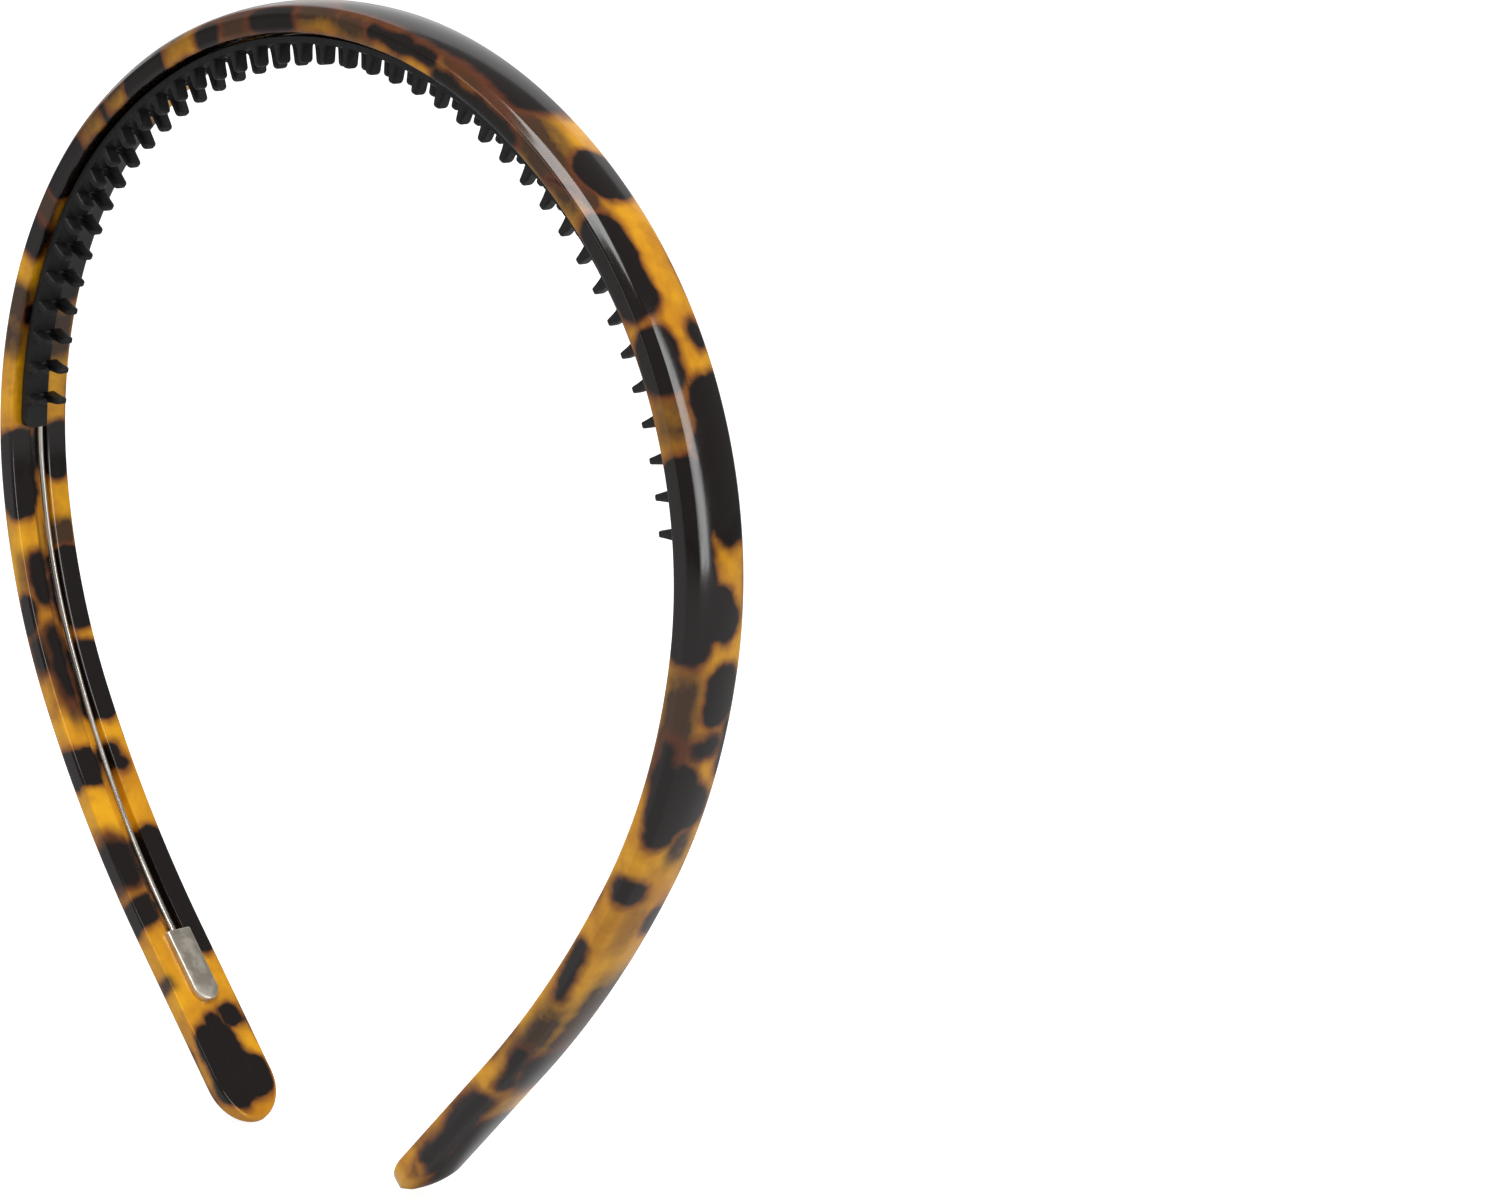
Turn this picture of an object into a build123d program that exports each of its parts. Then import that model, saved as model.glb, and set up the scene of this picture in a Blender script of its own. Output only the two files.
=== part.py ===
from build123d import *
import os
from math import cos, degrees, pi, radians, sin

# A headband: a bent acetate band with a flexible comb threaded on a spring wire along its inner face.
# Frame: X from ear to ear, Y from front to back across the band's width, Z up.
# The origin is the middle of the inner face at the crown. Millimetres and degrees.

# ---------------------------------------------------------------- driving dimensions

# Inner line of one half, from the crown down: tangent arcs (radius, angle), then a straight end.
ARCS = [(65.9, 41.8), (53.7, 55.7), (73.7, 22.2), (145.8, 13.2)]
STRAIGHT_END = 27.5

BAND_WIDTH = 8.8
BAND_THICKNESS = 3.7
SIDE_HEIGHT = 2.3
SHOULDER = 0.9
DOME_FULLNESS = 0.75
INNER_ROUND = 0.3

GROOVE_WIDTH = 2.6
GROOVE_DEPTH = 1.4

WIRE_DIAMETER = 0.7
WIRE_PROUD = 0.3

PLATE_LENGTH = 10.4
PLATE_WIDTH = 3.7
PLATE_COVER = 0.2
PLATE_SINK = 0.8
PLATE_LEAD = 0.5
PLATE_EDGE = 0.2
WIRE_GRIP = 7.0
WIRE_HOLE_FIT = 0.05

TOOTH_COUNT = 41
TOOTH_PITCH = 4.37
COMB_SHIFT = -2.3
COMB_END = 3.9
COMB_GAP = 0.35
STRIP_WIDTH = 3.6
STRIP_THICKNESS = 1.0
STRIP_OFFSET = -1.3
TOOTH_ROOT = 1.2
TOOTH_TIP = 0.7
TIP_ROUNDING = 0.3
LOBE_HEIGHT = 3.7
LOBE_WIDTH = 1.9
PRONG_HEIGHT = 4.1
PRONG_WIDTH = 1.9
PRONG_OFFSET = 0.65

GUIDE_EVERY = 5
GUIDE_LENGTH = 1.6
GUIDE_SIDE_GAP = 0.3
GUIDE_FLOOR_GAP = 0.5
WIRE_CLEARANCE = 0.3

# ---------------------------------------------------------------- the inner line


def arc_lengths():
    """Length of each arc of one half."""
    return [radius * radians(angle) for radius, angle in ARCS]


STRAIGHT_START = sum(arc_lengths())
HALF_LENGTH = STRAIGHT_START + STRAIGHT_END
PLATE_START = STRAIGHT_START + PLATE_LEAD
WIRE_REACH = PLATE_START + WIRE_GRIP - WIRE_HOLE_FIT
PLATE_PROUD = WIRE_PROUD + WIRE_DIAMETER / 2 + PLATE_COVER


def spot(s):
    """X, Z and downward turn, in radians, of the inner line at arc length s, negative on the left."""
    side = -1 if s < 0 else 1
    x, z, turn, left = 0.0, 0.0, 0.0, abs(s)
    for (radius, angle), length in zip(ARCS, arc_lengths()):
        step = min(left, length) / radius
        x += radius * (sin(turn + step) - sin(turn))
        z += radius * (cos(turn + step) - cos(turn))
        turn += step
        left -= radius * step
    return side * (x + left * cos(turn)), z - left * sin(turn), side * turn


def section_plane(s):
    """Plane across the inner line at s: local x is +Y, local y points outward, normal to the right."""
    x, z, turn = spot(s)
    return Plane(origin=(x, 0, z), x_dir=(0, 1, 0), z_dir=(cos(turn), 0, -sin(turn)))


def face_plane(s):
    """Plane on the inner face at s: local x runs to the right, local y is +Y, normal points outward."""
    x, z, turn = spot(s)
    return Plane(origin=(x, 0, z), x_dir=(cos(turn), 0, -sin(turn)), z_dir=(sin(turn), 0, cos(turn)))


def with_mirror(right):
    """A right-hand piece and its mirror image as a list."""
    return [right, mirror(right, about=Plane.YZ)]


def stretches():
    """Start, end and radius of each stretch of the inner line, left tip to right tip, 0 if straight."""
    right = []
    low = 0.0
    for (radius, angle), length in zip(ARCS, arc_lengths()):
        right.append((low, low + length, radius))
        low += length
    right.append((low, HALF_LENGTH, 0))
    left = [(-end, -start, radius) for start, end, radius in reversed(right[1:])]
    crown = (-right[0][1], right[0][1], right[0][2])
    return left + [crown] + right[1:]


def run(profile, start, end):
    """Carry a profile, drawn as (+Y, outward), along the inner line from one arc length to another."""
    pieces = []
    for low, high, radius in stretches():
        first = max(start, low)
        last = min(end, high)
        if last - first < 1e-6:
            continue
        section = section_plane(first) * profile
        if radius == 0:
            pieces.append(extrude(section, amount=last - first))
            continue
        x, z, turn = spot(first)
        axis = Axis((x - radius * sin(turn), 0, z - radius * cos(turn)), (0, 1, 0))
        pieces.append(revolve(section, axis, degrees((last - first) / radius)))
    body = pieces[0]
    for piece in pieces[1:]:
        body += piece
    return body


# ---------------------------------------------------------------- band


def band_edge():
    """The +Y half of the band's section, from the middle of the inner face to the top of the dome."""
    half = BAND_WIDTH / 2
    shoulder_y = half - SHOULDER
    shoulder_n = SIDE_HEIGHT + SHOULDER
    rise = BAND_THICKNESS - shoulder_n
    outline = [
        Line((0, 0), (half - INNER_ROUND, 0)),
        Line((half - INNER_ROUND, 0), (half, INNER_ROUND)),
        Line((half, INNER_ROUND), (half, SIDE_HEIGHT)),
        Line((half, SIDE_HEIGHT), (shoulder_y, shoulder_n)),
        ThreePointArc(
            (shoulder_y, shoulder_n),
            (shoulder_y / 2, shoulder_n + rise * DOME_FULLNESS),
            (0, BAND_THICKNESS),
        ),
        Line((0, BAND_THICKNESS), (0, 0)),
    ]
    return make_face(outline)


def rectangle(y_low, y_high, n_low, n_high):
    """A rectangle in the section, +Y by outward."""
    centre = ((y_low + y_high) / 2, (n_low + n_high) / 2)
    return Pos(*centre) * Rectangle(y_high - y_low, n_high - n_low)


def plate_outline():
    """The end plate's outline on the face plane: square at the comb's side, round at the tip's side."""
    straight = PLATE_LENGTH - PLATE_WIDTH / 2
    return Pos(straight / 2, 0) * Rectangle(straight, PLATE_WIDTH) + Pos(straight, 0) * Circle(PLATE_WIDTH / 2)


def make_band():
    """The band with its rounded tips, wire groove and plate pockets."""
    edge = band_edge()
    tip_centre = HALF_LENGTH - BAND_WIDTH / 2
    x, z, turn = spot(tip_centre)
    inward = (-sin(turn), 0, -cos(turn))
    tip = revolve(section_plane(tip_centre) * edge, Axis((x, 0, z), inward), 180)
    band = run(edge + mirror(edge, about=Plane.YZ), -tip_centre, tip_centre) + with_mirror(tip)
    over = BAND_THICKNESS
    groove = rectangle(-GROOVE_WIDTH / 2, GROOVE_WIDTH / 2, -over, GROOVE_DEPTH)
    groove_reach = PLATE_START + PLATE_WIDTH / 2
    band -= run(groove, -groove_reach, groove_reach)
    pocket = Pos(0, 0, -over) * extrude(plate_outline(), amount=over + PLATE_SINK)
    return band - with_mirror(face_plane(PLATE_START) * pocket)


# ---------------------------------------------------------------- wire and plates


def make_plate():
    """The right end plate, with the blind hole that grips the wire's end."""
    slab = Pos(0, 0, -PLATE_PROUD) * extrude(plate_outline(), amount=PLATE_PROUD + PLATE_SINK)
    slab = chamfer(slab.edges().group_by(Axis.Z)[0], PLATE_EDGE)
    hole_radius = WIRE_DIAMETER / 2 + WIRE_HOLE_FIT
    hole = Pos(WIRE_GRIP / 2, 0, -WIRE_PROUD) * Rot(0, 90, 0) * Cylinder(hole_radius, WIRE_GRIP)
    return face_plane(PLATE_START) * (slab - hole)


def make_wire():
    """The spring wire, from blind hole to blind hole."""
    section = Pos(0, -WIRE_PROUD) * Circle(WIRE_DIAMETER / 2)
    return run(section, -WIRE_REACH, WIRE_REACH)


# ---------------------------------------------------------------- comb


def tooth(width, height, y):
    """One prong of the comb, tapered along the band and rounded over its width."""
    root = -COMB_GAP - STRIP_THICKNESS / 2
    outline = Polyline(
        (-TOOTH_ROOT / 2, root),
        (TOOTH_ROOT / 2, root),
        (TOOTH_TIP / 2, -height),
        (-TOOTH_TIP / 2, -height),
        close=True,
    )
    blade = extrude(Plane.XZ * make_face(outline), amount=width / 2, both=True)
    corners = blade.edges().filter_by(Axis.X).group_by(Axis.Z)[0]
    return Pos(0, y, 0) * fillet(corners, width * TIP_ROUNDING)


def make_comb():
    """The comb: a strip with a lobe and a prong at each station, and guides round the wire."""
    strip_low = STRIP_OFFSET - STRIP_WIDTH / 2
    strip_high = STRIP_OFFSET + STRIP_WIDTH / 2
    stations = TOOTH_COUNT // 2
    left_end = COMB_SHIFT - stations * TOOTH_PITCH - COMB_END
    right_end = COMB_SHIFT + stations * TOOTH_PITCH + COMB_END
    strip = rectangle(strip_low, strip_high, -COMB_GAP - STRIP_THICKNESS, -COMB_GAP)
    comb = run(strip, left_end, right_end)
    teeth = tooth(LOBE_WIDTH, LOBE_HEIGHT, strip_low + LOBE_WIDTH / 2)
    teeth += tooth(PRONG_WIDTH, PRONG_HEIGHT, PRONG_OFFSET)
    guide_low = -COMB_GAP - STRIP_THICKNESS / 2
    guide_high = GROOVE_DEPTH - GUIDE_FLOOR_GAP
    guide = Box(GUIDE_LENGTH, GROOVE_WIDTH - 2 * GUIDE_SIDE_GAP, guide_high - guide_low)
    guide = Pos(0, 0, (guide_high + guide_low) / 2) * guide
    for station in range(-stations, stations + 1):
        place = face_plane(COMB_SHIFT + station * TOOTH_PITCH)
        comb += place * teeth
        if station % GUIDE_EVERY == 0:
            comb += place * guide
    channel = Pos(0, -WIRE_PROUD) * Circle(WIRE_DIAMETER / 2 + WIRE_CLEARANCE)
    return comb - run(channel, left_end - GUIDE_LENGTH, right_end + GUIDE_LENGTH)


# ---------------------------------------------------------------- export

right_plate = make_plate()
nodes = {
    "band": make_band(),
    "comb": make_comb(),
    "spring_wire": make_wire(),
    "right_end_plate": right_plate,
    "left_end_plate": mirror(right_plate, about=Plane.YZ),
}

os.makedirs("parts", exist_ok=True)
for name, shape in nodes.items():
    export_step(shape, f"parts/{name}.step")
    print(name, len(shape.solids()), round(shape.volume, 1))
wire_area = pi * WIRE_DIAMETER**2 / 4
print("wire by its length", round(2 * wire_area * WIRE_REACH, 1))
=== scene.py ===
from math import cos, exp, hypot, pi, radians, sin, sqrt

import bmesh
import bpy
from mathutils import Euler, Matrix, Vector


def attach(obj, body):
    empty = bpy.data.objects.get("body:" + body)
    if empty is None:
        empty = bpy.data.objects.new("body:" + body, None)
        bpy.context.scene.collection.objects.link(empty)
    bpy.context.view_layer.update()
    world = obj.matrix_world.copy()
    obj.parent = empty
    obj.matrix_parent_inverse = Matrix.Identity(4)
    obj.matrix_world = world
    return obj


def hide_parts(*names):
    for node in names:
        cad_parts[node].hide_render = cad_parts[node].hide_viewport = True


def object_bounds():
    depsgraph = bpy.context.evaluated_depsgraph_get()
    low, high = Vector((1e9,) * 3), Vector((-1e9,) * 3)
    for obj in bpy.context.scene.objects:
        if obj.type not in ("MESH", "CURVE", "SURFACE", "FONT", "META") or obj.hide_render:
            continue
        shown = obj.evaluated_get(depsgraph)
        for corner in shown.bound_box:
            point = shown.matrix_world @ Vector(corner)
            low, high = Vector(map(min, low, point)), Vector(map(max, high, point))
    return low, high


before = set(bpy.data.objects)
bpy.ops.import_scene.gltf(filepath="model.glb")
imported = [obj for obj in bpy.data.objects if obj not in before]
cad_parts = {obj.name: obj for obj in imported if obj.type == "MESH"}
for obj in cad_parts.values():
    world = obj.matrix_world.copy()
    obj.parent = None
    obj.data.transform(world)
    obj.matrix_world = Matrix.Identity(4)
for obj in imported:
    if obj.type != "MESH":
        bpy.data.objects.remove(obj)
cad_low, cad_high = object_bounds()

# Lengths are in millimetres up to the point where a mesh is made, and metres from there on.
MM = 0.001

# ---------------------------------------------------------------- sizes shared with the CAD model

ARCS = [(65.9, 41.8), (53.7, 55.7), (73.7, 22.2), (145.8, 13.2)]
STRAIGHT_END = 27.5
BAND_WIDTH = 8.8
BAND_THICKNESS = 3.7
SIDE_HEIGHT = 2.3
SHOULDER = 0.9
DOME_FULLNESS = 0.75
GROOVE_WIDTH = 2.6
GROOVE_DEPTH = 1.4
WIRE_DIAMETER = 0.7
WIRE_PROUD = 0.3
PLATE_LENGTH = 10.4
PLATE_WIDTH = 3.7
PLATE_PROUD = 0.85
PLATE_LEAD = 0.5
WIRE_GRIP = 7.0
TOOTH_COUNT = 41
TOOTH_PITCH = 4.37
COMB_SHIFT = -2.3
COMB_END = 3.9
COMB_GAP = 0.35
STRIP_WIDTH = 3.6
STRIP_THICKNESS = 1.0
STRIP_OFFSET = -1.3
LOBE_HEIGHT = 3.7
LOBE_WIDTH = 1.9
PRONG_HEIGHT = 4.1
PRONG_WIDTH = 1.9
PRONG_OFFSET = 0.65
WIRE_CLEARANCE = 0.3

# The skin lies this far inside the CAD model's dome and tips.
SKIN_INSET = 0.02

HALF = BAND_WIDTH / 2
LENGTHS = [radius * radians(angle) for radius, angle in ARCS]
STRAIGHT_START = sum(LENGTHS)
HALF_LENGTH = STRAIGHT_START + STRAIGHT_END
PLATE_START = STRAIGHT_START + PLATE_LEAD
# The tips' outline is this many times as long as a half round.
TIP_STRETCH = 1.3
TIP_CENTRE = HALF_LENGTH - HALF * TIP_STRETCH - SKIN_INSET
COMB_REACH = TOOTH_COUNT // 2 * TOOTH_PITCH + COMB_END


def spot(s):
    """X, Z and turn of the inner line at arc length s from the crown, negative on the left."""
    side = -1 if s < 0 else 1
    x, z, turn, left = 0.0, 0.0, 0.0, abs(s)
    for (radius, angle), length in zip(ARCS, LENGTHS):
        step = min(left, length) / radius
        x += radius * (sin(turn + step) - sin(turn))
        z += radius * (cos(turn + step) - cos(turn))
        turn += step
        left -= radius * step
    return side * (x + left * cos(turn)), z - left * sin(turn), side * turn


def place(s, y, n):
    """The point at arc length s, y across the band and n outward from its inner face, in metres."""
    x, z, turn = spot(s)
    return Vector((x + n * sin(turn), y, z + n * cos(turn))) * MM


def ramp(value, start, length):
    """0 before start, 1 from start + length on, and straight between."""
    return min(max((value - start) / length, 0.0), 1.0)


# ---------------------------------------------------------------- node helpers


def new_material(name):
    """A node material and its shader."""
    material = bpy.data.materials.new(name)
    material.use_nodes = True
    return material, material.node_tree.nodes["Principled BSDF"]


def node(tree, kind, **settings):
    """A node with its settings. Keys that start with in_ set the socket of that name or number."""
    made = tree.nodes.new(kind)
    for key, value in settings.items():
        if key.startswith("in_"):
            socket = key[3:]
            socket = int(socket) if socket.isdigit() else socket.replace("_", " ")
            made.inputs[socket].default_value = value
        else:
            setattr(made, key, value)
    return made


def feed(tree, socket, given):
    """Sets a socket to a number or a linear RGB, or links another socket to it."""
    if isinstance(given, tuple):
        socket.default_value = (*given, 1.0)
    elif isinstance(given, (int, float)):
        socket.default_value = given
    else:
        tree.links.new(given, socket)


def sums(tree, operation, first, second, clamp=False):
    """A maths node on sockets or numbers, as its output."""
    made = tree.nodes.new("ShaderNodeMath")
    made.operation = operation
    made.use_clamp = clamp
    feed(tree, made.inputs[0], first)
    feed(tree, made.inputs[1], second)
    return made.outputs[0]


def fade(tree, value, low, high, start, end):
    """A smooth step of value: start at low, end at high. low and high may be sockets."""
    made = tree.nodes.new("ShaderNodeMapRange")
    made.interpolation_type = "SMOOTHSTEP"
    names = ("Value", "From Min", "From Max", "To Min", "To Max")
    for name, given in zip(names, (value, low, high, start, end)):
        feed(tree, made.inputs[name], given)
    return made.outputs["Result"]


def blend_colour(tree, factor, first, second):
    """A mix of two colours, each a socket or linear RGB, as its output."""
    made = tree.nodes.new("ShaderNodeMix")
    made.data_type = "RGBA"
    factor_socket, first_colour, second_colour = made.inputs[0], made.inputs[6], made.inputs[7]
    feed(tree, factor_socket, factor)
    feed(tree, first_colour, first)
    feed(tree, second_colour, second)
    return made.outputs[2]


def noise(tree, scale, detail, roughness=0.5, squeeze=None):
    """A noise in the piece's own metres, from 0 to 1."""
    where = tree.nodes.new("ShaderNodeTexCoord").outputs["Object"]
    if squeeze:
        mapping = node(tree, "ShaderNodeMapping", in_Scale=squeeze)
        tree.links.new(where, mapping.inputs["Vector"])
        where = mapping.outputs["Vector"]
    made = node(tree, "ShaderNodeTexNoise", in_Scale=scale, in_Detail=detail, in_Roughness=roughness)
    tree.links.new(where, made.inputs["Vector"])
    return made.outputs["Fac"]


def bump(tree, shader, height, distance, strength):
    """Fine relief on a shader."""
    made = node(tree, "ShaderNodeBump", in_Distance=distance, in_Strength=strength)
    tree.links.new(height, made.inputs["Height"])
    tree.links.new(made.outputs["Normal"], shader.inputs["Normal"])


# ---------------------------------------------------------------- mesh helpers


def make_piece(name, points, faces, material, smooth=True):
    """A piece from points in metres."""
    mesh = bpy.data.meshes.new(name)
    mesh.from_pydata(points, [], faces)
    mesh.validate()
    mesh.update()
    mesh.materials.append(material)
    piece = bpy.data.objects.new(name, mesh)
    bpy.context.collection.objects.link(piece)
    for polygon in mesh.polygons:
        polygon.use_smooth = smooth
    return piece


def ring_faces(rings, columns):
    """Quads between closed rings of equally many points."""
    faces = []
    for i in range(rings - 1):
        low, high = i * columns, (i + 1) * columns
        for j in range(columns):
            k = (j + 1) % columns
            faces.append((low + j, low + k, high + k, high + j))
    return faces


def sharpen(piece, degrees):
    """Smooth shading with creases where faces meet at more than the angle."""
    piece.data.set_sharp_from_angle(angle=radians(degrees))


# ---------------------------------------------------------------- band: blotches

# w runs round the section: 0 at the inner face's front edge, then positive up the front side,
# over the dome and down the back side, and negative across the inner face to its back edge.
CHAMFER = hypot(SHOULDER, SHOULDER)
DOME_HALF = HALF - SHOULDER
W_FRONT = SIDE_HEIGHT + CHAMFER
W_BACK = W_FRONT + 2 * DOME_HALF
W_ROUND = W_BACK + CHAMFER + SIDE_HEIGHT + BAND_WIDTH

# Dark blotches: s, w, half length, half width, tilt in degrees, softness in mm.
DARK = [
    # right leg, front side and dome
    (13.4, 2.1, 6.2, 1.0, 0, 0.4), (27.1, 0.8, 8.0, 1.1, 0, 0.6), (16.6, 7.8, 17.3, 3.9, 0, 1.0),
    (43.5, 2.3, 2.4, 0.25, 30, 0.4), (43.7, 8.0, 3.5, 3.4, 0, 0.3), (54.9, 2.8, 6.5, 2.9, 0, 0.4),
    (66.4, 3.1, 3.6, 2.8, 0, 0.5), (87.9, 2.4, 11.2, 3.3, 0, 0.35), (77.5, 8.9, 9.0, 3.6, 0, 0.35),
    (64.1, 9.5, 1.4, 1.2, 20, 0.4), (93.8, 7.0, 3.0, 2.3, 25, 0.35), (103.0, 8.1, 3.2, 2.4, 0, 0.4),
    (111.5, 2.2, 3.4, 1.1, 0, 0.8), (115.3, 4.4, 4.6, 3.0, 10, 0.4), (118.7, 4.4, 2.9, 1.8, 0, 0.4),
    (116.2, 7.6, 2.7, 2.3, 10, 0.5), (108.8, 7.2, 1.4, 2.3, 10, 0.6), (109.4, 10.8, 3.4, 0.9, 0, 0.5),
    (127.9, 3.3, 1.6, 2.1, 0, 0.35), (141.5, 1.8, 4.6, 0.75, 7, 0.4), (132.9, 9.8, 2.1, 1.4, 0, 0.5),
    (160.0, 8.2, 4.2, 3.4, 22, 1.2), (159.3, 3.4, 4.0, 1.1, 14, 0.6), (174.4, 3.2, 8.8, 1.9, 4, 0.7),
    (179.1, 8.4, 8.6, 3.4, 8, 0.9),
    # right leg, inner face
    (2.5, -5.0, 5.0, 3.0, 0, 0.5), (21.6, -4.0, 6.0, 3.0, 0, 0.5), (42.9, -5.0, 5.0, 3.0, 0, 0.5),
    (60.5, -4.0, 5.0, 3.4, 0, 0.5), (79.0, -5.5, 5.0, 2.8, 0, 0.5), (96.5, -4.4, 5.6, 2.6, 12, 0.4),
    (111.9, -1.6, 3.2, 1.2, 0, 0.5), (116.5, -6.4, 5.0, 1.8, 0, 0.4), (131.2, -3.0, 3.0, 2.8, 0, 0.4),
    (146.2, -5.6, 5.0, 2.4, 10, 0.4), (157.8, -1.8, 4.0, 1.6, 0, 0.8), (170.3, -6.6, 3.4, 1.6, 0, 0.4),
    (180.1, -3.4, 4.6, 3.0, 0, 0.4),
    # right leg, back side
    (56.3, 12.6, 3.0, 1.6, 0, 0.5), (91.4, 12.6, 4.4, 1.5, 0, 0.4), (122.1, 12.8, 4.0, 1.5, 0, 0.5),
    (140.2, 12.8, 5.0, 1.3, 0, 0.5),
    # left leg, front side and most of the inner face's front half
    (-9.9, 1.7, 4.4, 1.7, 0, 0.8), (-22.3, 1.3, 2.3, 1.6, 0, 0.7), (-35.7, 0.8, 4.3, 3.6, 0, 0.35),
    (-45.4, 0.6, 0.35, 1.8, 0, 0.5), (-56.2, 0.4, 4.6, 3.6, 0, 0.35), (-67.7, 0.9, 2.4, 2.6, 0, 0.7),
    (-78.5, -1.3, 1.3, 0.6, 0, 0.4), (-99.6, -0.9, 5.6, 3.8, 0, 0.3), (-113.4, -2.6, 3.4, 1.9, 0, 0.6),
    (-117.9, 1.1, 2.8, 1.5, -18, 0.4), (-125.0, -2.7, 5.2, 1.9, 0, 1.3), (-123.1, 0.4, 2.4, 1.8, 0, 1.2),
    (-138.7, -0.5, 2.4, 3.8, 3, 0.3), (-152.3, -0.5, 3.8, 3.7, 0, 1.1), (-159.3, -0.4, 1.9, 3.9, 8, 0.4),
    (-182.1, -2.6, 6.0, 3.2, -6, 0.3), (-184.6, -6.1, 3.0, 1.9, 0, 0.3),
    # left leg, the rest of the inner face
    (-63.0, -7.2, 6.0, 2.2, 0, 0.5), (-18.0, -2.6, 38.0, 2.2, 0, 0.3), (-176.6, -3.4, 1.8, 1.2, 0, 0.3),
    (-72.4, -7.0, 5.0, 2.0, 0, 0.6), (-52.7, -7.0, 6.0, 2.2, 0, 0.6), (-30.9, -6.6, 6.0, 2.6, 0, 0.6),
    (-97.1, -7.1, 3.5, 2.4, 0, 0.3), (-115.2, -7.3, 5.2, 2.6, 0, 0.3), (-127.6, -7.3, 5.3, 2.7, 0, 0.3),
    (-138.3, -6.3, 2.0, 1.25, 15, 0.3), (-157.4, -7.2, 9.1, 2.6, 0, 0.3), (-175.7, -6.7, 1.8, 1.4, 0, 0.3),
    # left leg, dome and back side
    (-16.9, 6.2, 5.0, 2.6, 0, 0.6), (-35.9, 6.4, 6.0, 3.2, 10, 0.5), (-56.7, 7.0, 6.0, 3.4, 0, 0.4),
    (-50.8, 11.8, 4.4, 1.6, 0, 0.4), (-70.4, 9.2, 3.4, 2.8, 15, 0.4), (-83.2, 5.4, 4.6, 1.8, 0, 0.6),
    (-98.9, 6.4, 7.0, 3.2, 0, 0.4), (-92.0, 11.8, 4.0, 1.8, 0, 0.4), (-113.6, 9.4, 5.0, 2.4, -12, 0.4),
    (-122.5, 5.2, 3.6, 1.8, 0, 0.8), (-138.6, 6.0, 2.6, 2.8, 0, 0.3), (-132.2, 11.4, 4.4, 1.8, 0, 0.4),
    (-151.8, 7.6, 4.6, 3.4, 10, 0.9), (-166.4, 11.0, 4.0, 2.0, 0, 0.4), (-168.4, 5.6, 2.6, 1.4, 0, 0.6),
    (-181.8, 5.8, 6.0, 3.4, 0, 0.4), (-176.3, 12.4, 4.0, 1.5, 0, 0.4),
]

# Amber cut back out of the dark: s, w, half length, half width, tilt in degrees.
AMBER = [(184.9, 4.7, 4.4, 0.7, 35), (-121.6, -7.4, 0.9, 2.2, 0), (-3.5, 1.6, 2.6, 2.0, 0)]

# Smoky brown veils: s, w, half length, half width, strength.
SMOKE = [
    (26.6, 3.7, 6.0, 1.4, 0.65), (41.9, 1.6, 7.0, 2.0, 0.45), (45.5, 4.2, 3.0, 1.0, 0.78),
    (73.0, 3.0, 3.6, 3.2, 0.65), (106.8, 2.6, 8.0, 2.6, 0.95), (121.5, 7.8, 3.0, 1.8, 0.78),
    (5.5, 1.2, 4.0, 1.6, 0.65), (133.2, 6.0, 5.0, 1.6, 0.33), (-17.4, 1.3, 3.2, 1.8, 0.65),
    (-64.1, 1.0, 3.6, 2.4, 0.95), (-76.7, 0.9, 2.5, 2.4, 0.95), (-81.8, 1.0, 2.9, 2.4, 0.78),
    (-108.1, -7.0, 2.2, 2.2, 0.95), (-112.6, 0.2, 3.0, 1.4, 0.52), (-81.7, -7.0, 4.0, 2.0, 0.91),
    (-169.6, 1.0, 1.2, 2.0, 0.78), (-153.7, 1.0, 3.0, 2.6, 0.65), (-129.3, -2.6, 4.0, 1.4, 0.78),
    (-164.4, 7.0, 6.0, 2.0, 0.65), (-105.7, 4.0, 4.0, 2.0, 0.52), (-34.0, 7.5, 26.0, 6.0, 0.75),
    (10.0, 5.0, 24.0, 3.2, 0.7), (-8.0, 2.0, 9.0, 2.4, 0.55), (36.0, 5.0, 10.0, 2.0, 0.5),
    (149.0, 8.6, 8.0, 3.2, 0.9), (152.5, 2.8, 6.0, 2.0, 0.85), (166.0, 6.6, 16.0, 2.6, 0.35),
    (38.0, 2.4, 9.0, 2.2, 0.5), (-45.0, 1.5, 16.0, 2.0, 0.35),
]

# A blotch is passed over beyond FAR from its box, and moves the dark edge only within EDGE_REACH.
FAR = 9.0
EDGE_REACH = 6.0
# Blotches nearer than this run into each other, and their corners are rounded by this share.
MERGE = 0.6
CORNER_SHARE = 0.9


def reach_out(s, w, blob):
    """Distance in mm from a point to a rounded blotch's edge, negative inside."""
    across = (w - blob[1] + W_ROUND / 2) % W_ROUND - W_ROUND / 2
    along = s - blob[0]
    half_s, half_w = blob[2], blob[3]
    if abs(along) > half_s + FAR or abs(across) > half_w + FAR:
        return FAR
    tilt = radians(blob[4])
    u = along * cos(tilt) + across * sin(tilt)
    v = across * cos(tilt) - along * sin(tilt)
    corner = CORNER_SHARE * min(half_s, half_w)
    du, dv = abs(u) - half_s + corner, abs(v) - half_w + corner
    outside = hypot(max(du, 0.0), max(dv, 0.0))
    return outside + min(max(du, dv), 0.0) - corner


def merged(first, second):
    """The smaller of two distances, eased where they are nearly equal."""
    apart = abs(first - second)
    if apart > MERGE:
        return min(first, second)
    return min(first, second) - (MERGE - apart) ** 2 / (4 * MERGE)


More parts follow.
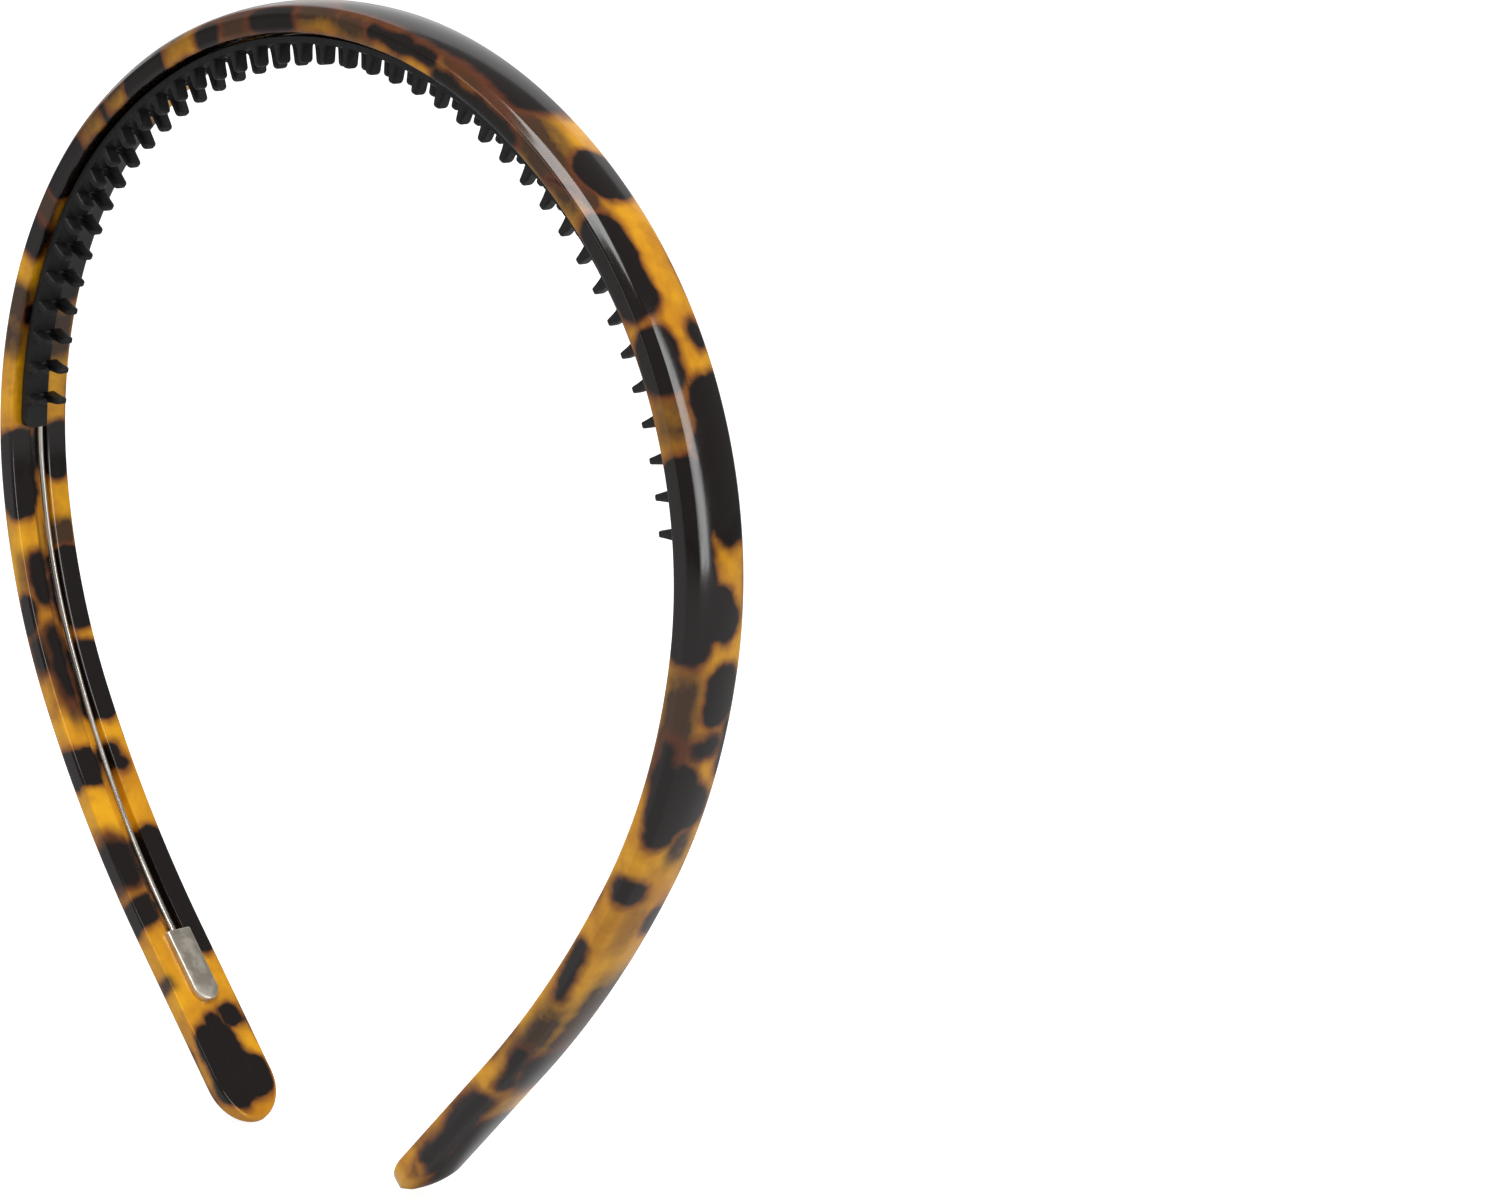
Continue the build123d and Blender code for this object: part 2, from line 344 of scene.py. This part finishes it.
def blotches(s, w):
    """Distance to the dark edge in mm, its softness in mm, and the smoke, at one point of the band."""
    edge, soft_sum, weight_sum, smoke = EDGE_REACH, 0.4e-6, 1e-6, 0.0
    for blob in DARK:
        gap = reach_out(s, w, blob)
        if gap < EDGE_REACH:
            edge = merged(edge, gap)
            weight = exp(-2.0 * abs(gap)) + 1e-9
            soft_sum += weight * blob[5]
            weight_sum += weight
    for blob in AMBER:
        edge = max(edge, -reach_out(s, w, blob))
    for s0, w0, half_s, half_w, strength in SMOKE:
        if abs(s - s0) < half_s * 1.6:
            across = (w - w0 + W_ROUND / 2) % W_ROUND - W_ROUND / 2
            smoke += strength * exp(-((s - s0) / half_s) ** 4 - (across / half_w) ** 4)
    return edge, soft_sum / weight_sum, min(smoke, 1.0)


# ---------------------------------------------------------------- band: section and mesh


def arc_points(centre, radius, first, last, count):
    """Points on an arc, angles in degrees from +y towards +n."""
    steps = [radians(first + (last - first) * i / count) for i in range(count + 1)]
    return [(centre[0] + radius * cos(a), centre[1] + radius * sin(a)) for a in steps]


def dome_height(y):
    """Height of the dome over the inner face at y."""
    low = SIDE_HEIGHT + SHOULDER
    rise = BAND_THICKNESS - low
    middle = DOME_HALF / 2
    # the circle through the shoulder, the point of the given fullness and the top
    ax, ay = DOME_HALF, low
    bx, by = middle, low + rise * DOME_FULLNESS
    cx, cy = 0.0, BAND_THICKNESS
    a2, b2, c2 = ax**2 + ay**2, bx**2 + by**2, cx**2 + cy**2
    d = 2 * (ax * (by - cy) + bx * (cy - ay) + cx * (ay - by))
    ux = (a2 * (by - cy) + b2 * (cy - ay) + c2 * (ay - by)) / d
    uy = (a2 * (cx - bx) + b2 * (ax - cx) + c2 * (bx - ax)) / d
    radius = hypot(ax - ux, ay - uy)
    return uy + sqrt(max(radius**2 - (abs(y) - ux) ** 2, 0.0))


def half_section():
    """The section's +y half, from the middle of the groove's floor to the top of the dome.

    Each point is y, n and its depth below the inner face where the groove runs.
    """
    lip = 0.15
    groove = GROOVE_WIDTH / 2
    edge_radius = 0.32
    flat_end = HALF - 0.42
    bend = 0.22
    points = [(groove * t, 0.0, GROOVE_DEPTH) for t in (0.0, 0.5, 0.9)]
    points += [(groove, 0.0, GROOVE_DEPTH * 0.93), (groove, 0.0, GROOVE_DEPTH * 0.5), (groove, 0.0, lip)]
    points += [(groove + lip * 0.3, 0.0, lip * 0.3), (groove + lip, 0.0, 0.0)]
    points += [(groove + lip + (flat_end - groove - lip) * i / 7, 0.0, 0.0) for i in range(1, 8)]
    edge = arc_points((HALF - edge_radius, edge_radius), edge_radius, -75, 0, 4)
    points += [(y, n, 0.0) for y, n in edge]
    points += [(HALF, edge_radius + (SIDE_HEIGHT - 0.5) * i / 5, 0.0) for i in range(1, 6)]
    points += [(HALF - 0.03, SIDE_HEIGHT + 0.02, 0.0)]
    points += [(HALF - bend * 0.6, SIDE_HEIGHT + bend * 0.55, 0.0)]
    points += [(HALF - SHOULDER * t, SIDE_HEIGHT + SHOULDER * t, 0.0) for t in (0.35, 0.6, 0.85)]
    dome = (0.97, 0.92, 0.84, 0.72, 0.6, 0.45, 0.3, 0.15, 0.0)
    points += [(DOME_HALF * t, dome_height(DOME_HALF * t), 0.0) for t in dome]
    return points


def round_distance(y, n, on_inner):
    """w of a point of the section."""
    if on_inner:
        return -(y + HALF)
    if n <= SIDE_HEIGHT:
        return n if y < 0 else W_BACK + CHAMFER + SIDE_HEIGHT - n
    if n <= SIDE_HEIGHT + SHOULDER and abs(y) > DOME_HALF - 0.01:
        climb = (n - SIDE_HEIGHT) * CHAMFER / SHOULDER
        return SIDE_HEIGHT + climb if y < 0 else W_BACK + CHAMFER - climb
    return W_FRONT + DOME_HALF + y


# Spacing of the rings along the band in mm, closer where the groove ends, and rings round each tip.
STATION_STEP = 0.38
GROOVE_END_STEP = 0.12
TIP_FOLDS = 14
# At its rim a tip draws in by this share, towards this height over the inner face.
TIP_THINNING = 0.97
TIP_MIDDLE = 1.45


def make_band_mesh(material):
    """The band as one closed skin with its blotch fields on the points."""
    right = half_section()
    ring = right + [(-y, n, dip) for y, n, dip in reversed(right[1:-1])]
    count = len(right)
    columns = len(ring)
    inner = [n == 0.0 for y, n, dip in ring]
    groove_end = PLATE_START + PLATE_WIDTH / 2
    stations = []
    s = 0.0
    while s < TIP_CENTRE - 0.2:
        stations.append((s, 0.0))
        s += STATION_STEP if abs(s - groove_end) > 0.5 else GROOVE_END_STEP
    tips = [(TIP_CENTRE, radians(90.0 * i / TIP_FOLDS)) for i in range(TIP_FOLDS + 1)]
    half_rings = stations + tips
    rings = [(-s, fold) for s, fold in reversed(half_rings[1:])] + half_rings
    points, edges, softs, smokes = [], [], [], []
    for s, fold in rings:
        side = -1 if s < 0 else 1
        depth = 1.0 if abs(s) < groove_end else 0.0
        for (y, n, dip), flat in zip(ring, inner):
            along = s + side * abs(y) * sin(fold) * TIP_STRETCH
            across = y * cos(fold)
            thinning = 1.0 - sqrt(1.0 - TIP_THINNING * (y * sin(fold) / HALF) ** 2)
            height = n + dip * depth - (SKIN_INSET if n > SIDE_HEIGHT else 0.0)
            height += thinning * (TIP_MIDDLE - height)
            points.append(place(along, across, height))
            w = round_distance(across if flat else y, n, flat)
            if not flat and fold and n > SIDE_HEIGHT + SHOULDER - 0.01:
                w = W_FRONT + DOME_HALF + across
            edge, soft, smoke = blotches(along, w)
            edges.append(edge)
            softs.append(soft)
            smokes.append(smoke)
    faces = [tuple(reversed(face)) for face in ring_faces(len(rings), columns)]
    piece = make_piece("band_skin", points, faces, material)
    for name, values in (("edge", edges), ("soft", softs), ("smoke", smokes)):
        layer = piece.data.attributes.new(name, "FLOAT", "POINT")
        layer.data.foreach_set("value", values)
    close_tips(piece, columns, len(rings), count)
    return piece


def close_tips(piece, columns, rings, count):
    """Sews the folded end rings shut, where each point meets its twin on the other half."""
    mesh = bmesh.new()
    mesh.from_mesh(piece.data)
    mesh.verts.ensure_lookup_table()
    twins = {}
    for start in (0, (rings - 1) * columns):
        for j in range(1, count - 1):
            twins[mesh.verts[start + columns - j]] = mesh.verts[start + j]
    bmesh.ops.weld_verts(mesh, targetmap=twins)
    bmesh.ops.recalc_face_normals(mesh, faces=mesh.faces)
    mesh.to_mesh(piece.data)
    mesh.free()


# ---------------------------------------------------------------- materials


def acetate():
    """Polished acetate: amber with near-black blotches, reddish where they meet."""
    material, shader = new_material("acetate")
    tree = material.node_tree
    fields = {}
    for name in ("edge", "soft", "smoke"):
        fields[name] = node(tree, "ShaderNodeAttribute", attribute_name=name).outputs["Fac"]
    slow = sums(tree, "MULTIPLY", sums(tree, "SUBTRACT", noise(tree, 260.0, 2.0), 0.5), 2.2)
    quick = sums(tree, "MULTIPLY", sums(tree, "SUBTRACT", noise(tree, 1100.0, 2.0), 0.5), 0.3)
    warp = sums(tree, "SUBTRACT", sums(tree, "ADD", slow, quick), 0.15)
    edge = sums(tree, "ADD", fields["edge"], warp)
    soft = fields["soft"]
    dark = fade(tree, edge, sums(tree, "MULTIPLY", soft, -1.0), sums(tree, "MULTIPLY", soft, 0.6), 1.0, 0.0)
    halo = fade(tree, edge, -0.2, sums(tree, "ADD", 0.7, sums(tree, "MULTIPLY", soft, 1.3)), 1.0, 0.0)
    haze = fade(tree, edge, 0.0, 3.0, 0.35, 0.0)
    depth = fade(tree, noise(tree, 120.0, 3.0, 0.6), 0.35, 0.7, 0.0, 1.0)
    amber = blend_colour(tree, depth, (0.86, 0.415, 0.009), (0.62, 0.258, 0.008))
    murk = fade(tree, noise(tree, 330.0, 3.0, 0.6), 0.45, 0.75, 0.0, 0.45)
    amber = blend_colour(tree, murk, amber, (0.40, 0.135, 0.009))
    amber = blend_colour(tree, haze, amber, (0.42, 0.13, 0.010))
    uneven = sums(tree, "ADD", 0.75, noise(tree, 500.0, 2.0))
    smoke = sums(tree, "MULTIPLY", fields["smoke"], uneven, clamp=True)
    amber = blend_colour(tree, smoke, amber, (0.060, 0.028, 0.012))
    amber = blend_colour(tree, sums(tree, "MULTIPLY", halo, 0.9), amber, (0.13, 0.032, 0.010))
    colour = blend_colour(tree, dark, amber, (0.0072, 0.0042, 0.0034))
    tree.links.new(colour, shader.inputs["Base Color"])
    wipe = noise(tree, 260.0, 3.0, 0.6, squeeze=(1.0, 5.0, 1.0))
    rough = fade(tree, wipe, 0.3, 0.75, 0.10, 0.17)
    tree.links.new(rough, shader.inputs["Roughness"])
    shader.inputs["IOR"].default_value = 1.49
    bump(tree, shader, noise(tree, 90.0, 2.0), 0.00012, 0.25)
    return material


def black_plastic():
    """Matte black moulding with a fine grain and greyer patches."""
    material, shader = new_material("comb_plastic")
    tree = material.node_tree
    patch = fade(tree, noise(tree, 400.0, 3.0, 0.6), 0.35, 0.7, 0.0, 1.0)
    colour = blend_colour(tree, patch, (0.0028, 0.0027, 0.0027), (0.0060, 0.0058, 0.0057))
    tree.links.new(colour, shader.inputs["Base Color"])
    shader.inputs["IOR"].default_value = 1.42
    rough = fade(tree, noise(tree, 1500.0, 2.0), 0.3, 0.7, 0.42, 0.56)
    tree.links.new(rough, shader.inputs["Roughness"])
    bump(tree, shader, noise(tree, 9000.0, 2.0), 0.00002, 0.35)
    return material


def drawn_wire():
    """Bright steel wire whose tone and gloss change slowly."""
    material, shader = new_material("wire_steel")
    tree = material.node_tree
    tone = noise(tree, 90.0, 3.0, 0.6)
    colour = blend_colour(tree, tone, (0.58, 0.53, 0.46), (0.72, 0.67, 0.60))
    tree.links.new(colour, shader.inputs["Base Color"])
    shader.inputs["Metallic"].default_value = 1.0
    rough = fade(tree, tone, 0.3, 0.7, 0.22, 0.34)
    tree.links.new(rough, shader.inputs["Roughness"])
    return material


def satin_nickel():
    """Satin nickel with faint cloudy patches."""
    material, shader = new_material("plate_nickel")
    tree = material.node_tree
    cloud = fade(tree, noise(tree, 450.0, 4.0, 0.65), 0.3, 0.7, 0.0, 1.0)
    colour = blend_colour(tree, cloud, (0.60, 0.54, 0.44), (0.72, 0.66, 0.57))
    tree.links.new(colour, shader.inputs["Base Color"])
    shader.inputs["Metallic"].default_value = 1.0
    rough = fade(tree, cloud, 0.2, 0.8, 0.30, 0.42)
    tree.links.new(rough, shader.inputs["Roughness"])
    bump(tree, shader, noise(tree, 900.0, 2.0), 0.00006, 0.3)
    return material


# ---------------------------------------------------------------- comb


# Radius of the strip's rounded ends, seen from its face.
END_ROUND = 1.2


def comb_strip():
    """The comb's strip: a thin bar with soft edges, a channel for the wire and rounded ends."""
    low = STRIP_OFFSET - STRIP_WIDTH / 2
    high = STRIP_OFFSET + STRIP_WIDTH / 2
    top = -COMB_GAP
    foot = -COMB_GAP - STRIP_THICKNESS
    channel = WIRE_DIAMETER / 2 + WIRE_CLEARANCE
    ring = [(low, top - 0.15), (low + 0.15, top)]
    ring += arc_points((0.0, -WIRE_PROUD), channel, 184, 318, 8)
    ring += [(high, foot + 0.2), (high - 0.15, foot + 0.03)]
    ring += [(low + 1.0, foot), (low + 0.2, foot), (low, foot + 0.15)]
    steps = 420
    points = []
    for i in range(steps + 1):
        along = COMB_REACH * (2 * i / steps - 1)
        inset = max(abs(along) - COMB_REACH + END_ROUND, 0.0)
        cut = END_ROUND - sqrt(max(END_ROUND**2 - inset**2, 0.0))
        for y, n in ring:
            points.append(place(COMB_SHIFT + along, max(y, low + cut * 0.9), n))
    columns = len(ring)
    faces = ring_faces(steps + 1, columns)
    faces.append(tuple(range(columns)))
    faces.append(tuple(reversed(range(len(points) - columns, len(points)))))
    return points, faces


def blade_outline():
    """One station's outline across the band: a front lobe, a notch and a back prong, as y and depth."""
    root = -COMB_GAP - 0.3
    foot = -COMB_GAP - STRIP_THICKNESS
    lobe_low = STRIP_OFFSET - STRIP_WIDTH / 2 + 0.03
    lobe_high = lobe_low + LOBE_WIDTH - 0.06
    prong_low = PRONG_OFFSET - PRONG_WIDTH / 2 + 0.03
    prong_high = PRONG_OFFSET + PRONG_WIDTH / 2 - 0.03
    corner = 0.55
    lobe_tip = -LOBE_HEIGHT + 0.02 + corner
    prong_tip = -PRONG_HEIGHT + 0.02 + corner
    outline = [(lobe_low, root), (lobe_low, -1.3), (lobe_low, -1.7), (lobe_low, -2.2)]
    outline += arc_points((lobe_low + corner, lobe_tip), corner, 180, 270, 5)
    outline += arc_points((lobe_high - corner, lobe_tip), corner, 270, 360, 5)
    outline += [(lobe_high, foot - 0.9), (lobe_high, foot - 0.35), (lobe_high + 0.12, foot - 0.08)]
    outline += [(prong_low - 0.12, foot - 0.08), (prong_low, foot - 0.35), (prong_low, foot - 0.9)]
    outline += arc_points((prong_low + corner, prong_tip), corner, 180, 270, 5)
    outline += arc_points((prong_high - corner, prong_tip), corner, 270, 360, 5)
    outline += [(prong_high, -2.3), (prong_high, -1.8), (prong_high, -1.3)]
    outline += [(prong_high - 0.2, -1.05), (prong_low, -1.05), (-0.8, root)]
    return outline


# A blade's layers along the band: share of its half thickness, and how far its rim is drawn in.
BLADE_LAYERS = ((-1.0, 0.34), (-0.93, 0.17), (-0.78, 0.05), (-0.5, 0.0))
BLADE_LAYERS += tuple((-height, inset) for height, inset in reversed(BLADE_LAYERS))
# Half thickness at the tip, what the root adds, and the depths between which it flares.
BLADE_TIP_HALF = 0.44
BLADE_FLARE = 0.30
FLARE_TOP = 1.2
FLARE_DEPTH = 2.4


def comb_blade(s, points, faces):
    """Adds one station's blade: broad at the root, thin at the tip, with softened rims."""
    outline = blade_outline()
    count = len(outline)
    start = len(points)
    for height, inset in BLADE_LAYERS:
        for i, (y, n) in enumerate(outline):
            y0, n0 = outline[i - 1]
            y1, n1 = outline[(i + 1) % count]
            length = max(hypot(y1 - y0, n1 - n0), 1e-6)
            y_in = y - inset * (n1 - n0) / length
            n_in = n + inset * (y1 - y0) / length
            share = ramp(-n, FLARE_TOP, FLARE_DEPTH)
            half_thickness = BLADE_TIP_HALF + BLADE_FLARE * (1.0 - share) ** 2
            points.append(place(s + height * half_thickness, y_in, n_in))
    last = len(BLADE_LAYERS) - 1
    for layer in range(last):
        a, b = start + layer * count, start + (layer + 1) * count
        for j in range(count):
            k = (j + 1) % count
            faces.append((a + j, a + k, b + k, b + j))
    faces.append(tuple(start + j for j in reversed(range(count))))
    faces.append(tuple(start + last * count + j for j in range(count)))


def make_comb_mesh(material):
    """The whole comb as one piece."""
    points, faces = comb_strip()
    reach = TOOTH_COUNT // 2
    for station in range(-reach, reach + 1):
        comb_blade(COMB_SHIFT + station * TOOTH_PITCH, points, faces)
    piece = make_piece("comb_moulding", points, faces, material)
    sharpen(piece, 38)
    return piece


# ---------------------------------------------------------------- wire and plates


# The wire's sideways wander in mm: towards +y past the comb, then towards -y by the plate.
WANDER_BACK = 0.1
WANDER_FRONT = 0.7


def wire_wander(s):
    """The wire's small sideways wander between the comb and its plate."""
    leave = ramp(abs(s) - COMB_REACH, 3.0, 8.0)
    drift = ramp(abs(s), 126.0, 36.0)
    return WANDER_BACK * leave - WANDER_FRONT * sin(drift * pi / 2)


def make_wire_mesh(material):
    """The wire as a fine tube with its slight wander."""
    hidden_gap = 0.5
    reach = PLATE_START + WIRE_GRIP - hidden_gap
    steps, columns, radius = 1200, 20, WIRE_DIAMETER / 2
    points = []
    for i in range(steps + 1):
        s = reach * (2 * i / steps - 1)
        y0 = wire_wander(s)
        for j in range(columns):
            a = 2 * pi * j / columns
            points.append(place(s, y0 + radius * cos(a), -WIRE_PROUD + radius * sin(a)))
    faces = [tuple(reversed(face)) for face in ring_faces(steps + 1, columns)]
    faces.append(tuple(range(columns)))
    faces.append(tuple(reversed(range(len(points) - columns, len(points)))))
    return make_piece("wire_tube", points, faces, material)


def plate_rim(inset):
    """The plate's outline, drawn in by inset: square corners a little rounded at the comb's side."""
    half = PLATE_WIDTH / 2 - inset
    straight = PLATE_LENGTH - PLATE_WIDTH / 2
    corner = 0.25
    rim = arc_points((inset + corner, -half + corner), corner, 270, 180, 5)
    rim += arc_points((inset + corner, half - corner), corner, 180, 90, 5)
    rim += [(straight * t, half) for t in (0.35, 0.7)]
    rim += arc_points((straight, 0.0), half, 90, -90, 18)
    rim += [(straight * t, -half) for t in (0.7, 0.35)]
    return rim


def make_plate_mesh(name, side, material):
    """One end plate: a low cap with a rolled edge and a very slightly crowned top."""
    levels = [(0.0, 0.6)]
    crown = ((0.0, 0.34), (0.05, 0.17), (0.16, 0.06), (0.32, 0.02), (0.8, 0.005), (1.4, 0.0))
    levels += [(inset, -PLATE_PROUD + lower) for inset, lower in crown]
    points = []
    for inset, n in levels:
        for along, across in plate_rim(inset):
            points.append(place(side * (PLATE_START + along), across, n))
    columns = len(plate_rim(0.0))
    faces = ring_faces(len(levels), columns)
    faces.append(tuple(range(columns)))
    faces.append(tuple(reversed(range(len(points) - columns, len(points)))))
    if side < 0:
        faces = [tuple(reversed(face)) for face in faces]
    piece = make_piece(name, points, faces, material)
    sharpen(piece, 50)
    return piece


# ---------------------------------------------------------------- the object

band = make_band_mesh(acetate())
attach(band, "frame")
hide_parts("band")

comb = make_comb_mesh(black_plastic())
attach(comb, "comb")
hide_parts("comb")

wire = make_wire_mesh(drawn_wire())
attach(wire, "frame")
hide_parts("spring_wire")

nickel = satin_nickel()
for side, word in ((-1, "left"), (1, "right")):
    plate = make_plate_mesh(f"{word}_plate_cap", side, nickel)
    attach(plate, "frame")
    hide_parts(f"{word}_end_plate")

# ---------------------------------------------------------------- stage, light and camera

CAMERA_PLACE = (0.43987, -0.36735, 0.06806)
CAMERA_TURN = (76.732, -2.126, 45.794)
CAMERA_LENS = 117.57


FLOOR_SIZE = 6.0
FLOOR_GLOW = 0.85


def make_floor():
    """A pale floor that the tips stand on. It glows for camera rays only, so it looks white."""
    z = cad_low.z
    size = FLOOR_SIZE
    corners = [(-size, -size, z), (size, -size, z), (size, size, z), (-size, size, z)]
    material, shader = new_material("floor_paper")
    tree = material.node_tree
    tone = noise(tree, 30.0, 3.0)
    colour = blend_colour(tree, tone, (0.60, 0.60, 0.60), (0.63, 0.63, 0.63))
    tree.links.new(colour, shader.inputs["Base Color"])
    shader.inputs["Roughness"].default_value = 0.9
    shader.inputs["Specular IOR Level"].default_value = 0.1
    shader.inputs["Emission Color"].default_value = (1.0, 1.0, 1.0, 1.0)
    seen = tree.nodes.new("ShaderNodeLightPath").outputs["Is Camera Ray"]
    tree.links.new(sums(tree, "MULTIPLY", seen, FLOOR_GLOW), shader.inputs["Emission Strength"])
    piece = make_piece("floor", corners, [(0, 1, 2, 3)], material, smooth=False)


def soft_box(name, where, towards, size, power):
    """A white rectangular studio light that the camera doesn't see."""
    light = bpy.data.lights.new(name, "AREA")
    light.shape = "RECTANGLE"
    light.size, light.size_y = size
    light.energy = power
    lamp = bpy.data.objects.new(name, light)
    lamp.location = where
    lamp.rotation_mode = "QUATERNION"
    lamp.rotation_quaternion = (Vector(towards) - Vector(where)).to_track_quat("-Z", "Y")
    lamp.visible_camera = False
    bpy.context.collection.objects.link(lamp)


def make_world(seen, cast):
    """A white surround: strength seen for camera rays, and strength cast for all other rays."""
    world = bpy.data.worlds.new("surround")
    bpy.context.scene.world = world
    world.use_nodes = True
    tree = world.node_tree
    tree.nodes.clear()
    output = tree.nodes.new("ShaderNodeOutputWorld")
    path = tree.nodes.new("ShaderNodeLightPath")
    mix = tree.nodes.new("ShaderNodeMixShader")
    shades = []
    for strength in (cast, seen):
        shade = tree.nodes.new("ShaderNodeBackground")
        shade.inputs["Color"].default_value = (1.0, 1.0, 1.0, 1.0)
        shade.inputs["Strength"].default_value = strength
        shades.append(shade)
    tree.links.new(path.outputs["Is Camera Ray"], mix.inputs[0])
    tree.links.new(shades[0].outputs[0], mix.inputs[1])
    tree.links.new(shades[1].outputs[0], mix.inputs[2])
    tree.links.new(mix.outputs[0], output.inputs["Surface"])


make_floor()
make_world(1.0, 0.28)
middle = (0.0, 0.0, -0.07)
soft_box("key", (0.15, -0.35, 0.75), middle, (0.5, 0.5), 6.2)
soft_box("side", (0.9, 0.3, 0.25), middle, (0.16, 1.0), 3.6)
soft_box("back", (-0.7, 0.75, 0.4), middle, (1.4, 0.8), 2.0)
soft_box("front", (-0.55, -0.85, 0.2), middle, (0.12, 0.9), 0.9)

camera_data = bpy.data.cameras.new("camera")
camera_data.sensor_width = 36.0
camera_data.lens = CAMERA_LENS
camera_data.clip_start, camera_data.clip_end = 0.01, 50.0
camera = bpy.data.objects.new("camera", camera_data)
camera.location = CAMERA_PLACE
camera.rotation_euler = Euler([radians(a) for a in CAMERA_TURN])
bpy.context.collection.objects.link(camera)
bpy.context.scene.camera = camera
bpy.context.scene.view_settings.view_transform = "Standard"
